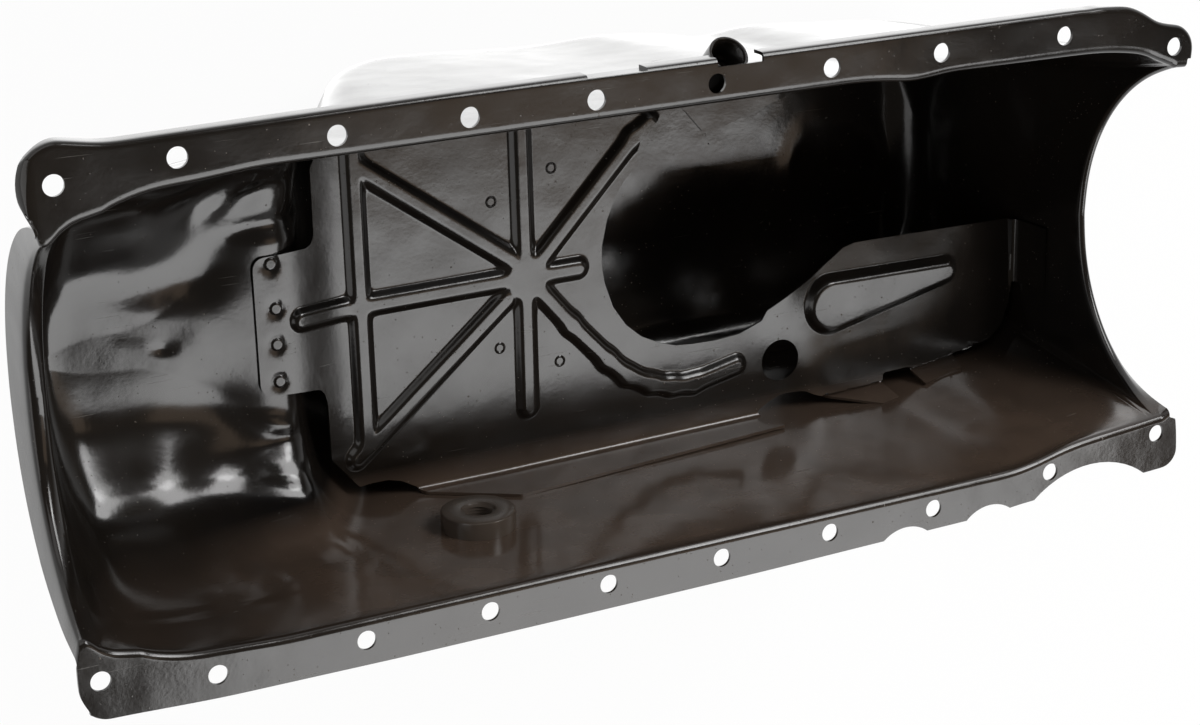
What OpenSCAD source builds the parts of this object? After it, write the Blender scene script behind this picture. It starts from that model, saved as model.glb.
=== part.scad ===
// Deep sump engine oil pan, drawn mouth up with its sealing face level.
// Stations run along +X from the front pair of bolts, half widths run out from the crank centreline,
// and depths run down from the sealing face. The finished pan is moved so that X = 0 is mid length.

/* [Pan body] */
// Height of the sealing face above the ground the sump stands on
pan_depth = 235; // [225:1:250]
// Thickness of the pressed sheet
sheet_t = 1.6; // [1.2:0.1:1.8]
// Depth of the shallow trough ahead of the sump
trough_depth = 121.6; // [110:0.2:122]
// Outer bend radius where the walls meet the rails
mouth_bend = 3.5; // [3:0.1:4]
// Depth of the saddle that holds the front seal
front_saddle_depth = 63; // [58:1:68]
// Depth of the saddle that holds the rear seal
rear_saddle_depth = 74; // [70:1:78]

/* [Bolt rails] */
// Spacing of the bolts along the rails
bolt_pitch = 63.5; // [63:0.1:64]
// Distance between the two bolt lines
bolt_lines = 239.2; // [238:0.2:241]
// Diameter of the bolt holes
bolt_hole_d = 9.5; // [8:0.5:10]
// Height of the turned lip on the left rail
lip_h = 9; // [5:0.5:12]

/* [Windage tray] */
// Depth of the tray below the sealing face
tray_depth = 127; // [126:0.5:129]
// Thickness of the tray sheet
tray_t = 1.6; // [1.2:0.1:1.8]
// Height of the pressed beads
bead_h = 5; // [3:0.5:6]
// Width of a bead at its foot
bead_w = 14; // [11:0.5:15]
// Diameter of the drain-back hole in the tray
tray_hole_d = 23.5; // [18:0.5:26]

/* [Drain boss] */
// Diameter of the drain boss
drain_boss_d = 38; // [32:1:40]
// Height of the drain boss off the wall
drain_boss_h = 9.5; // [8:0.5:12]
// Diameter of the drain thread
drain_thread_d = 14; // [12:0.5:18]

/* [Dipstick bung] */
// Outer diameter of the dipstick bung
bung_d = 20; // [20:0.5:22]
// Bore that the dipstick tube seats in
bung_bore_d = 16; // [15:0.5:16]
// How far the dipstick tube enters the bung
bung_seat = 17; // [12:1:17]
// Passage for the dipstick under the seat
bung_passage_d = 13; // [10:0.5:13.5]
// Angle at which the bung leans out from upright
bung_lean = 42; // [40:1:46]

/* [Hidden] */
$fn = 48;
paint = [0.07, 0.065, 0.06];
mid_station = 294.5;
floor_depth = pan_depth - sheet_t;
half_bolts = bolt_lines / 2;

// Plain helpers
function mix(a, b, t) = a + (b - a) * t;
function unit(v) = v / norm(v);
function clamp01(t) = max(0, min(1, t));

// Points of a circular arc that rounds corner b between a and c
function corner_arc(a, b, c, r, n) =
    let (u = unit(a - b), v = unit(c - b),
         half = acos(u * v) / 2,
         centre = b + unit(u + v) * r / sin(half),
         p = b + u * r / tan(half) - centre,
         q = b + v * r / tan(half) - centre,
         turn = 180 - 2 * half)
    [for (j = [0:n]) centre + (sin(turn * (1 - j / n)) * p + sin(turn * j / n) * q) / sin(turn)];
// Path through corners given as [x, y, radius, steps]; the first and last stay sharp
function flat2(p) = [p[0], p[1]];
function rounded(path) = [
    for (i = [0:len(path) - 1])
        each (i == 0 || i == len(path) - 1)
            ? [flat2(path[i])]
            : corner_arc(flat2(path[i - 1]), flat2(path[i]), flat2(path[i + 1]), path[i][2], path[i][3])
];
// The same path with long stretches cut into pieces no longer than step
function spread(path, step) = [
    for (i = [0:len(path) - 2])
        let (m = ceil(norm(path[i + 1] - path[i]) / step))
        for (j = [0:m - 1]) mix(path[i], path[i + 1], j / m),
    path[len(path) - 1]
];

// Point at a fraction of the way along a path, counted by its points
function along(path, t) =
    let (u = t * (len(path) - 1), i = min(floor(u), len(path) - 2)) mix(path[i], path[i + 1], u - i);
// Points of an arc in plan, from one angle to another
function arc(cx, cy, r, from, to, n) =
    [for (j = [0:n]) let (a = mix(from, to, j / n)) [cx + r * cos(a), cy + r * sin(a)]];

// Keel line of the inner surface along the centreline: [station, depth, bend radius, steps]
face_h = 26;
keel_corners = [
    [-5.5, front_saddle_depth + face_h, 0, 0],
    [-4.2, front_saddle_depth, 3.5, 3],
    [5, front_saddle_depth, 4, 3],
    [16, trough_depth, 10, 4],
    [145, trough_depth, 16, 3],
    [211, floor_depth, 40, 4],
    [586, floor_depth, 26, 6],
    [590.5, rear_saddle_depth, 2.6, 3],
    [594.5, rear_saddle_depth, 2.6, 2],
    [604, rear_saddle_depth + 16, 0, 0]
];
keel = spread(rounded(keel_corners), 26);
front_end = 17;
rear_start = 559;

// Half width of the mouth, from the centreline to the flat of the rail: [station, half width]
mouth_front = [[-10, 90], [-4, 92], [1, 96.7], [7, 100.5], [21, 103.3], [28, 107.7], [37, 109.8], [69, 111], [80, 113.2]];
mouth_left = concat(mouth_front, [[400, 113.2], [413, 112], [423, 109.4], [432, 109.4], [442, 112],
    [540, 111.4], [553, 110.5], [571, 107.1], [580, 103], [589, 99.2], [597, 93.4]]);
mouth_right = concat(mouth_front, [[90, 112.4], [500, 112.4], [514, 108.9], [526, 105.5], [544, 103.5],
    [578, 101], [594, 99.6], [600, 94]]);
function mouth_table(side) = side > 0 ? mouth_left : mouth_right;
function mouth_flat(x, side) = lookup(x, mouth_table(side));
// Inward slope of each side wall: [station, mm per mm of depth]
slope_left = [[16, 0.066], [120, 0.066], [190, 0.026], [255, 0.026], [312, 0.043], [342, 0.043], [362, 0.034],
    [424, 0.06], [440, 0.064], [458, 0.052], [520, 0.073], [559, 0.083]];
slope_right = [[16, 0.066], [120, 0.066], [190, 0.026], [255, 0.026], [400, 0.045], [500, 0.052], [559, 0.055]];
function wall_slope(x, side) = lookup(x, side > 0 ? slope_left : slope_right);
// Radius between side wall and bottom: [station, radius]
corner_r = [[16, 95], [75, 95], [122, 62], [150, 60], [175, 56], [200, 45], [232, 25], [559, 25]];

function bend_reach(slope) = mouth_bend * tan((90 - atan(slope)) / 2);
function wall_mouth(x, side, slope) = mouth_flat(x, side) - bend_reach(slope);
// Half width of the inside of a side wall in the straight part of the pan
function wall_half(x, side, depth) =
    let (s = wall_slope(x, side)) wall_mouth(x, side, s) - s * depth;

// A section across the pan: [lean, left slope, right slope, bottom radius, left mouth, right mouth]
function section(lean, sl, sr, r, wl, wr) = [lean, sl, sr, r, wl, wr];
lip_section = section(0.05, 0.092, 0.092, 96, 97.5, 97.5);
front_crest = section(0.06, 0.36, 0.36, 96, 89.5, 89.5);
rear_rim = section(0.067, 0.043, 0.043, 92, 94, 94);
// Slope of the corners as the rear wall climbs from the sump floor (0) to the seal saddle (1)
rear_slope = [[0, 0.083], [0.08, 0.136], [0.34, 0.172], [0.84, 0.215], [1, 0.3]];

function front_wall_section(x, depth) =
    let (t = clamp01((depth - front_saddle_depth) / (trough_depth - front_saddle_depth)),
         s = mix(front_crest[1], wall_slope(front_end, 1), t),
         lean = mix(front_crest[0], 0, t),
         rim_x = x - lean * depth,
         w = mouth_flat(rim_x, 1) - bend_reach(s))
    section(lean, s, s, mix(front_crest[3], corner_r[0][1], t), w, w);
function rear_wall_section(x, depth) =
    let (t = clamp01((floor_depth - depth) / (floor_depth - rear_saddle_depth)),
         s = lookup(t, rear_slope),
         start = clamp01(t / 0.06),
         sl = mix(wall_slope(rear_start, 1), s, start),
         sr = mix(wall_slope(rear_start, -1), s, start))
    section(0.02 * t, sl, sr, mix(25, 104, sqrt(t)), wall_mouth(x - 0.02 * t * depth, 1, sl),
        wall_mouth(x - 0.02 * t * depth, -1, sr));
function section_at(p) =
    let (x = p[0], depth = p[1])
    x < 0 ? mix(front_crest, lip_section, clamp01((depth - front_saddle_depth) / 26))
    : x < front_end ? front_wall_section(x, depth)
    : x < rear_start ? section(0, wall_slope(x, 1), wall_slope(x, -1), lookup(x, corner_r),
        wall_mouth(x, 1, wall_slope(x, 1)), wall_mouth(x, -1, wall_slope(x, -1)))
    : x < 592.5 ? rear_wall_section(x, depth)
    : mix(rear_wall_section(592.5, rear_saddle_depth), rear_rim, clamp01((depth - rear_saddle_depth) / 16));

bend_steps = [30, 60];
fillet_steps = 6;
// One side of a section, from inside the rail to the centreline: [half width, depth]
function half_section(mouth, slope, depth, radius) =
    let (tilt = atan(slope),
         turn = tan((90 - tilt) / 2),
         foot = mouth - slope * depth,
         reach = bend_reach(slope),
         r = min(radius, (foot - 1) / turn, (depth / cos(tilt) - reach - 1) / turn),
         cx = foot - r * turn,
         cy = depth - r,
         start = [mouth - slope * (cy + r * sin(tilt)), cy + r * sin(tilt)],
         bend_end = [mouth - reach * sin(tilt), reach * cos(tilt)])
    concat(
        [[mouth + reach, 0]],
        [for (a = bend_steps) [mouth + reach - mouth_bend * sin(a), mouth_bend * (1 - cos(a))]],
        [bend_end, mix(bend_end, start, 0.5)],
        [for (j = [0:fillet_steps]) let (a = mix(tilt, 90, j / fillet_steps)) [cx + r * cos(a), cy + r * sin(a)]],
        [[cx / 2, depth]]
    );

// Outline of the rails in plan, with half widths counted as positive
left_edge = 131.4;
left_side = [[20, 129.8], [54, 130.2], [110, 130.9], [180, left_edge], [534, left_edge]];
right_side = [[20, 129.4], [54, 131.1], [140, 132.2], [240, 132.4], [340, 132.2], [412, 131.3], [484, 130.6],
    [500, 128], [560, 127.6]];
// Rounded ends of the rails, from the front corner back and from the last straight stretch to the rear corner
front_lug = [2.6, 115.6];
lug_r = 17.7;
left_front = concat(arc(front_lug[0], front_lug[1], lug_r, 135, 84, 9), [[14, 131.4], [24.4, 129.7]]);
right_front = concat(arc(4, 114.3, 14.4, 135, 88, 7), [[14, 129], [24.4, 129.6]]);
left_rear = concat([[534.7, 131], [541, 131.4], [547, 130.8], [553, 130.4], [559, 129.7], [565, 127.8], [571, 124.6],
    [577, 120.7], [583, 118.4]], arc(588.5, 103.4, 13.8, 84, -4, 8), [[601.8, 98.5]]);
right_rear = concat([[534.7, 127.9], [551, 127.7], [566, 127.4], [581, 127.2]], arc(593.6, 116.6, 10, 88, 6, 6),
    [[603, 108], [602, 99.5]]);
// How far the front ends of the rails bulge forward of the saddle: [share of the way out, forward, out]
left_bulge = [[0.68, -3.6, 0.3], [0.33, -4.4, -3.5]];
right_bulge = [[0.68, -3.2, 0], [0.33, -2.4, 0]];
front_row = search_row(24, 0);
rear_row = search_row(533, 0);
function search_row(x, i) = keel[i][0] >= x ? i : search_row(x, i + 1);

rail_front = -8.8;
function rail_side(side) = side > 0 ? left_side : right_side;
function rail_edge(i, side) =
    let (x = keel[i][0], last = len(keel) - 1)
    i <= front_row ? along(side > 0 ? left_front : right_front, i / front_row)
    : i >= rear_row ? along(side > 0 ? left_rear : right_rear, (i - rear_row) / (last - rear_row))
    : [x, lookup(x, rail_side(side))];
function edge_inward(i, side) =
    let (d = rail_edge(min(i + 1, len(keel) - 1), side) - rail_edge(max(i - 1, 0), side)) unit([d[1], -d[0]]);
lip_bend = 2.5;
rolled_edge = 3;
front_lip_h = 4.5;
lip_heights = [[-7, front_lip_h], [6, lip_h], [541, lip_h], [552, rolled_edge]];
// Flat of a rail at one row, from its outer edge to the mouth, as points in plan with depth
function rail_row(i, side, mouth) =
    let (edge = rail_edge(i, side), in = edge_inward(i, side),
         w = pow(max(0, 1 - max(0, i - 1) / front_row), 2),
         front_drop = side > 0 && keel[i][0] < 0 ? front_lip_h * (keel[i][1] - front_saddle_depth) / face_h : 0,
         drop = lookup(edge[0], lip_heights),
         turned = [for (c = [[0, drop], [0, lip_bend], [0.29, lip_bend * 0.29], [1, 0]])
             [edge + in * lip_bend * c[0], max(c[1], front_drop)]],
         corner = [for (a = [135, 140, 146, 152]) [front_lug + lug_r * [cos(a), sin(a)], front_lip_h]])
    concat(
        side < 0 ? [[edge, 0]] : i == 0 ? corner : turned,
        [for (b = side > 0 ? left_bulge : right_bulge)
            [mix(mouth, edge, b[0]) + [b[1], b[2]] * w, front_drop]]
    );
function placed(q, side) = [q[0][0], side * q[0][1], pan_depth - q[1]];
function ring_at(i) =
    let (p = keel[i], s = section_at(p),
         left = half_section(s[4], s[1], p[1], s[3]),
         right = half_section(s[5], s[2], p[1], s[3]),
         n = len(left),
         x0 = max(p[0] - s[0] * p[1], rail_front),
         left_rail = rail_row(i, 1, [x0, left[0][0]]),
         right_rail = rail_row(i, -1, [x0, right[0][0]]),
         m = len(right_rail))
    concat(
        [for (q = left_rail) placed(q, 1)],
        [for (q = concat(left, [[0, p[1]]], [for (j = [n - 1:-1:0]) [-right[j][0], right[j][1]]]))
            [p[0] + s[0] * (q[1] - p[1]), q[0], pan_depth - q[1]]],
        [for (j = [m - 1:-1:0]) placed(right_rail[j], -1)]
    );

inner_skin = [for (i = [0:len(keel) - 1]) ring_at(i)];
rows = len(inner_skin);
cols = len(inner_skin[0]);
// Outward direction of the sheet at one grid point
function outward(i, j) =
    let (along = inner_skin[min(i + 1, rows - 1)][j] - inner_skin[max(i - 1, 0)][j],
         round = inner_skin[i][min(j + 1, cols - 1)] - inner_skin[i][max(j - 1, 0)],
         n = unit(cross(along, round)))
    n[2] > 0.25 ? -n : n;
outer_skin = [for (i = [0:rows - 1]) [for (j = [0:cols - 1]) inner_skin[i][j] + outward(i, j) * sheet_t]];

// Closed solid between two grids of points with the same rows and columns
module sheet_between(upper, lower) {
    n = len(upper);
    m = len(upper[0]);
    size = n * m;
    points = concat([for (row = upper) each row], [for (row = lower) each row]);
    top = [for (i = [0:n - 2]) for (j = [0:m - 2])
        each [[i * m + j, (i + 1) * m + j, (i + 1) * m + j + 1], [i * m + j, (i + 1) * m + j + 1, i * m + j + 1]]];
    bottom = [for (f = top) [f[2] + size, f[1] + size, f[0] + size]];
    rim = concat(
        [for (j = [0:m - 1]) j],
        [for (i = [1:n - 1]) i * m + m - 1],
        [for (j = [m - 2:-1:0]) (n - 1) * m + j],
        [for (i = [n - 2:-1:1]) i * m]
    );
    k = len(rim);
    edge = [for (a = [0:k - 1]) let (p = rim[a], q = rim[(a + 1) % k])
        each [[p, q, q + size], [p, q + size, p + size]]];
    polyhedron(points, concat(top, bottom, edge));
}

// Stations of the bolts and how far each one stands from the centreline
mid_bolt = 253.1;
bolt_stations = [0, 53.7, for (i = [-2:3]) mid_bolt + i * bolt_pitch, 518.3, 589.1];
left_inset = [4.6, 0, 0, 0, 0, 0, 0, 0, 0, 13.5];
right_inset = [9.8, 0, 0, 0, 0, 0, 0, 0, 5.4, 13.7];

bung_station = 329.5;
bung_gap = 25;
// Bites taken from the right rail for clearance: [station, half width of the centre, radius]
scallops = [[426.5, 147.8, 21.4], [479.5, 146.5, 21.6], [545.5, 174.2, 59.3]];

module bolt_holes() {
    for (i = [0:len(bolt_stations) - 1]) {
        drill(bolt_stations[i], half_bolts - left_inset[i]);
        drill(bolt_stations[i], -half_bolts + right_inset[i]);
    }
}
module drill(x, y) {
    translate([x, y, pan_depth - sheet_t - 1]) cylinder(h = sheet_t + 2, d = bolt_hole_d);
}

module drawn_sheet() {
    sheet_between(inner_skin, outer_skin);
}

// Gaps in the turned lip, where it clears a gasket tab and the dipstick tube: [front, rear, half width kept]
lip_gaps = [[249, 280, 129.9], [bung_station - bung_gap / 2, bung_station + bung_gap / 2, 127.2]];

// Places something on the inside of a side wall, with +Z pointing into the pan
module on_wall(x, side, depth) {
    tilt = atan(wall_slope(x, side));
    translate([x, side * wall_half(x, side, depth), pan_depth - depth]) rotate([side * (90 - tilt), 0, 0]) children();
}
drain_station = 218;
drain_depth = 73;
drain_clear_d = drain_thread_d + 3;

// Places something at the mouth of the dipstick bung, with +Z pointing out of it
bung_y = 130.2;
bung_mouth_depth = 11;
module at_bung() {
    translate([bung_station, bung_y, pan_depth - bung_mouth_depth]) rotate([-bung_lean, 0, 0]) children();
}
bung_reach = 60;

// Ring pressed up into the sump floor
ring_station = 532;
ring_outer_d = 76;
ring_inner_d = 57;
ring_h = 1.2;
module floor_ring(h, grow) {
    half_w = (ring_outer_d - ring_inner_d) / 4;
    translate([ring_station, 0, 0])
        rotate_extrude($fn = 72)
            translate([(ring_outer_d + ring_inner_d) / 4, 0])
                polygon([[-half_w - grow, 0], [half_w + grow, 0], [half_w / 2 + grow, h], [-half_w / 2 - grow, h]]);
}

module pan_shell() {
    color(paint)
        translate([-mid_station, 0, 0])
            difference() {
                union() {
                    drawn_sheet();
                    translate([0, 0, sheet_t - 0.4]) floor_ring(ring_h + 0.4, 0);
                }
                translate([0, 0, -0.4]) floor_ring(ring_h + 0.4, -1.2);
                bolt_holes();
                for (s = scallops)
                    translate([s[0], -s[1], pan_depth - sheet_t - 2]) cylinder(h = sheet_t + 4, r = s[2], $fn = 96);
                for (g = lip_gaps)
                    translate([g[0], g[2], pan_depth - lip_h - 2]) cube([g[1] - g[0], 10, lip_h + 4]);
                on_wall(drain_station, -1, drain_depth) translate([0, 0, -5]) cylinder(h = 10, d = drain_clear_d);
                at_bung() translate([0, 0, -bung_reach]) cylinder(h = bung_reach, d = bung_passage_d);
            }
}

bead_top_half = 3;
bead_side = (bead_w / 2 - bead_top_half) / bead_h;
skin = tray_t * sqrt(1 + bead_side * bead_side);
// Round end of a bead, drawn to a smaller radius as it rises
module bead_end(p, r, low, high) {
    translate([p[0], p[1], low])
        cylinder(h = high - low, r1 = r - bead_side * low, r2 = r - bead_side * high, $fn = 32);
}
// Pressed bead or pad between two points: its outside, or the hollow left under it
module pressed(p, q, r0, r1, h, hollow) {
    low = hollow ? -tray_t - 0.5 : -tray_t / 2;
    high = hollow ? h - tray_t : h;
    inset = hollow ? skin : 0;
    hull() {
        bead_end(p, r0 - inset, low, high);
        bead_end(q, r1 - inset, low, high);
    }
}

hub = [274.5, 1];
hub_r = 17;
// Beads of the tray as straight runs in plan: [from, to, share of the full width and height]
bead_runs = [
    [[182, 80], [182, -73], 1],
    [[157, 0], [262, 1], 0.98],
    [[186, 70], [266, 12], 0.96],
    [[176, -80], [263, -9], 0.97],
    [[274, 80], [274, 10], 0.95],
    [[274, -8], [273.5, -70], 0.94],
    [[282, 8], [339, 66], 0.93],
    [[284, 1], [305, 1], 0.9],
    [[282, -7], [321, -52], 0.99],
    [[321, -52], [347, -70], 0.97],
    [[347, -70], [373, -74.5], 0.95],
    [[373, -74.5], [400, -69], 0.92]
];
module beads(hollow) {
    for (b = bead_runs) pressed(b[0], b[1], bead_w / 2 * b[2], bead_w / 2 * b[2], bead_h * b[2], hollow);
    pressed(hub, hub + [0.1, 0], hub_r, hub_r, bead_h * 1.02, hollow);
    pressed([462, -43.5], [536, -36.5], 14.5, 6.8, bead_h * 0.9, hollow);
}

bend_in = 2.5;
bend_out = bend_in + tray_t;
seat_gap = 0.3;
leg = 5;
foot_in = 0.4;
sink = 0.02;
// Edge of the tray against a side wall, from one station to another
function tray_wall(x, side) = wall_half(x, side, tray_depth - 2) - seat_gap;
flange_front = 207;
flange_rear = 420;
left_flange_rear = 412;
tray_edge = bend_out - 0.6;
tray_front = 150.6;
rear_wall_x = 588.3;
tray_rear = rear_wall_x - tray_edge;
tray_outline = [
    [tray_front, 36], [156, 38], [158.9, 42], [158.9, 74.4], [161.4, 79], [176.7, 95.7], [196, 100],
    [flange_front, tray_wall(flange_front, 1) - tray_edge],
    [left_flange_rear, tray_wall(left_flange_rear, 1) - tray_edge],
    [440, 97], [468, 93], [474, 86], [466, 80], [440, 78.5], [429, 75.3], [389.3, 63.5], [381.4, 63.5],
    [370.7, 76.1], [367, 79.5], [360, 79.5],
    [355.7, 75.3], [341.8, 67], [342.1, 51], [334, 44],
    [328.7, 36.7], [323, 24], [319.7, 10.5], [319.2, 0], [320.9, -10.4], [325.5, -24], [332.9, -35], [342, -43],
    [353.3, -48.6], [363, -51.6], [373.6, -52.6], [388, -53], [402.5, -51.9], [417.1, -46.9],
    [420.4, -41.7], [450, -28.2], [472, -14.5], [480, -12.7], [tray_rear, -14], [tray_rear, -52],
    [583.5, -62], [577.8, -75.5], [567.5, -83.5], [555, -87], [543, -87.6], [516, -89.5], [495, -89.8],
    [495, -94.5], [456, -96], [447, -93],
    [441, -91.5], [428, -91.8], [421, -94.5],
    [flange_rear, -tray_wall(flange_rear, -1) + tray_edge],
    [flange_front, -tray_wall(flange_front, -1) + tray_edge],
    [192.3, -95], [176.7, -95.7], [161.4, -77.4], [161.1, -47.3], [157, -40], [tray_front, -38]
];
tray_hole = [428.6, -71.4];

// Angle strip whose outer face stands on the line from p to q, with the tray on its left.
// Its upright is cut to an outline given as [distance from p, height].
module angle_strip(p, q, outline, lean) {
    span = norm(q - p);
    h = max([for (c = outline) c[1]]) + 1;
    steps = [0:3];
    profile = concat(
        [[-lean * h, h]],
        [for (j = steps) let (a = 180 + 30 * j) [bend_out + bend_out * cos(a), bend_out + bend_out * sin(a)]],
        [[bend_out + leg, foot_in], [bend_out + leg, tray_t - foot_in]],
        [for (j = steps) let (a = 270 - 30 * j) [bend_out + bend_in * cos(a), bend_out + bend_in * sin(a)]],
        [[tray_t - lean * h, h]]
    );
    translate([p[0], p[1], pan_depth - tray_depth - tray_t - sink])
        rotate([0, 0, atan2(q[1] - p[1], q[0] - p[0])])
            intersection() {
                rotate([90, 0, 90]) linear_extrude(span) polygon(profile);
                translate([0, bend_out + leg + 1, 0])
                    rotate([90, 0, 0])
                        linear_extrude(bend_out + leg + h)
                            polygon(outline);
            }
}

// Flat ear turned up from the tray's right edge, hinged on the line from p to q.
// Its outline is given as [distance from p, distance out from the hinge].
module ear(p, q, outline, turn) {
    translate([p[0], p[1], pan_depth - tray_depth - tray_t - sink])
        rotate([0, 0, atan2(q[1] - p[1], q[0] - p[0])])
            rotate([180 - turn, 0, 0])
                translate([0, 0, -tray_t])
                    linear_extrude(tray_t)
                        polygon(outline);
}

// Joggled tongue that steps up onto the trough floor
tab_front = 125;
tab_step = 143.7;
tab_half = 35;
module trough_tab() {
    top = pan_depth - trough_depth + tray_t;
    low = pan_depth - tray_depth;
    foot = tab_step + top - low;
    slant = tray_t * (sqrt(2) - 1);
    translate([0, tab_half - 1, 0])
        rotate([90, 0, 0])
            linear_extrude(2 * tab_half)
                polygon([[tab_front, top], [tab_step, top], [foot + sink, low - sink], [foot + leg, low - foot_in],
                    [foot + leg, low - tray_t + foot_in], [foot - slant, low - tray_t],
                    [tab_step - slant, top - tray_t], [tab_front, top - tray_t]]);
}

module windage_tray() {
    color(paint)
        translate([-mid_station, 0, 0])
            difference() {
                union() {
                    translate([0, 0, pan_depth - tray_depth - tray_t]) linear_extrude(tray_t) polygon(tray_outline);
                    translate([0, 0, pan_depth - tray_depth]) beads(false);
                    angle_strip([flange_front, -tray_wall(flange_front, -1)], [flange_rear, -tray_wall(flange_rear, -1)],
                        [[0, -1], [0, 3], [46, 32.6], [213, 20.4], [206, 4], [206, -1]], 0.025);
                    angle_strip([left_flange_rear, tray_wall(left_flange_rear, 1)],
                        [flange_front, tray_wall(flange_front, 1)],
                        [[0, -1], [205, -1], [205, 4], [195, 22], [6, 22], [0, 14]], 0.025);
                    angle_strip([rear_wall_x, -50], [rear_wall_x, -14], [[0, -1], [36, -1], [36, 27], [0, 27]], 0.02);
                    ear([455, -96.6], [495, -94.8], [[0, -2], [40, -2], [43.5, 15], [32, 17]], 67);
                    ear([516.5, -92], [543.5, -88], [[0, -2], [27, -2], [26.5, 13], [1, 15]], 71);
                    trough_tab();
                }
                translate([0, 0, pan_depth - tray_depth]) beads(true);
                translate([tray_hole[0], tray_hole[1], pan_depth - tray_depth - tray_t - 1])
                    cylinder(h = tray_t + 2, d = tray_hole_d);
            }
}

boss_bevel = 1.2;
module drain_boss() {
    color(paint)
        translate([-mid_station, 0, 0])
            on_wall(drain_station, -1, drain_depth)
                difference() {
                    rotate_extrude()
                        polygon([[0, 0], [drain_boss_d / 2, 0], [drain_boss_d / 2, drain_boss_h - boss_bevel],
                            [drain_boss_d / 2 - boss_bevel, drain_boss_h], [0, drain_boss_h]]);
                    translate([0, 0, -1]) cylinder(h = drain_boss_h + 2, d = drain_thread_d);
                }
}

module dipstick_bung() {
    wall_out = sheet_t + 0.15;
    color(paint)
        translate([-mid_station, 0, 0])
            difference() {
                at_bung() translate([0, 0, -bung_reach]) cylinder(h = bung_reach, d = bung_d);
                at_bung() translate([0, 0, -bung_seat]) cylinder(h = bung_seat + 1, d = bung_bore_d);
                at_bung() translate([0, 0, -bung_reach - 1]) cylinder(h = bung_reach + 1, d = bung_passage_d);
                on_wall(bung_station, 1, 30) translate([-60, -80, -wall_out]) cube([120, 160, 120]);
            }
}

pan_shell();
windage_tray();
drain_boss();
dipstick_bung();
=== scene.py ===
"""Engine oil pan: deep drawn shell, pressed windage tray, drain boss and dipstick bung."""

from math import acos, atan, ceil, cos, exp, floor, hypot, log, pi, radians, sin, sqrt, tan

import bmesh
import bpy
from mathutils import Matrix, Vector, noise


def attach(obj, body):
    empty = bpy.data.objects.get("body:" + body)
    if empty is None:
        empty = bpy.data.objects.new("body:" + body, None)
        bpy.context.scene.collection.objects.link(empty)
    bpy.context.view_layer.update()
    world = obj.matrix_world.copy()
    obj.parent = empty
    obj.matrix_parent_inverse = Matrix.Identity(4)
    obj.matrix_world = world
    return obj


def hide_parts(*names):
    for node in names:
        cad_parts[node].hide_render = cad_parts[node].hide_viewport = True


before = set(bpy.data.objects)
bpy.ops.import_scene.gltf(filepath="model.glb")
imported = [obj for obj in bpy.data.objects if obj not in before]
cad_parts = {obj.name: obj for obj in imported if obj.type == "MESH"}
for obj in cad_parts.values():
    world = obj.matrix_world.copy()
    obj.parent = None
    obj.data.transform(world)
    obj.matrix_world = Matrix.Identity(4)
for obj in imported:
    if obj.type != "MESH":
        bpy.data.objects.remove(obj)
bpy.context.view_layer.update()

# Tables and named sizes are in millimetres, and meshes, lamps and finishes in metres. A station runs along
# the pan from its front bolts, a half width runs out from its middle, and a depth runs down from its rail.
MM = 0.001
MID_STATION = 294.5
PAN_DEPTH = 235.0
SHEET = 1.6
FLOOR_DEPTH = PAN_DEPTH - SHEET
FRONT_SADDLE, FRONT_FALL = 63.0, 26
REAR_SADDLE, REAR_FALL = 74.0, 16
TROUGH = 121.6
MOUTH_BEND = 3.5
HALF_BOLTS = 119.6


def mix(a, b, t):
    return a + (b - a) * t


def clamp01(t):
    return max(0.0, min(1.0, t))


def smooth01(t):
    t = clamp01(t)
    return t * t * (3 - 2 * t)


def straight(x, table):
    """Straight-line reading of a table of (x, value)."""
    if x <= table[0][0]:
        return table[0][1]
    for (x0, y0), (x1, y1) in zip(table, table[1:]):
        if x <= x1:
            return mix(y0, y1, (x - x0) / (x1 - x0))
    return table[-1][1]


def to_segment(x, y, a, b):
    """Distance from a place to a segment, and the share of the segment where it is nearest."""
    dx, dy = b[0] - a[0], b[1] - a[1]
    t = clamp01(((x - a[0]) * dx + (y - a[1]) * dy) / (dx * dx + dy * dy))
    return hypot(x - a[0] - t * dx, y - a[1] - t * dy), t


def unit(x, y):
    n = hypot(x, y)
    return x / n, y / n


def corner_arc(a, b, c, r, steps):
    """Points of the arc that rounds corner b between a and c."""
    ux, uy = unit(a[0] - b[0], a[1] - b[1])
    vx, vy = unit(c[0] - b[0], c[1] - b[1])
    half = acos(ux * vx + uy * vy) / 2
    mx, my = unit(ux + vx, uy + vy)
    cx, cy = b[0] + mx * r / sin(half), b[1] + my * r / sin(half)
    px, py = b[0] + ux * r / tan(half) - cx, b[1] + uy * r / tan(half) - cy
    qx, qy = b[0] + vx * r / tan(half) - cx, b[1] + vy * r / tan(half) - cy
    turn = pi - 2 * half
    out = []
    for j in range(steps + 1):
        s, t = sin(turn * (1 - j / steps)) / sin(turn), sin(turn * j / steps) / sin(turn)
        out.append((cx + s * px + t * qx, cy + s * py + t * qy))
    return out


def rounded(path):
    """Path with an arc at each of its corners, which are (x, y, radius, steps)."""
    out = [path[0][:2]]
    for a, b, c in zip(path, path[1:], path[2:]):
        out += corner_arc(a, b, c, b[2], b[3])
    return out + [path[-1][:2]]


def spread(path, step):
    """Path with more points, none further apart than a step."""
    out = []
    for p, q in zip(path, path[1:]):
        m = max(1, ceil(hypot(q[0] - p[0], q[1] - p[1]) / step))
        out += [(mix(p[0], q[0], j / m), mix(p[1], q[1], j / m)) for j in range(m)]
    return out + [path[-1]]


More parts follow.
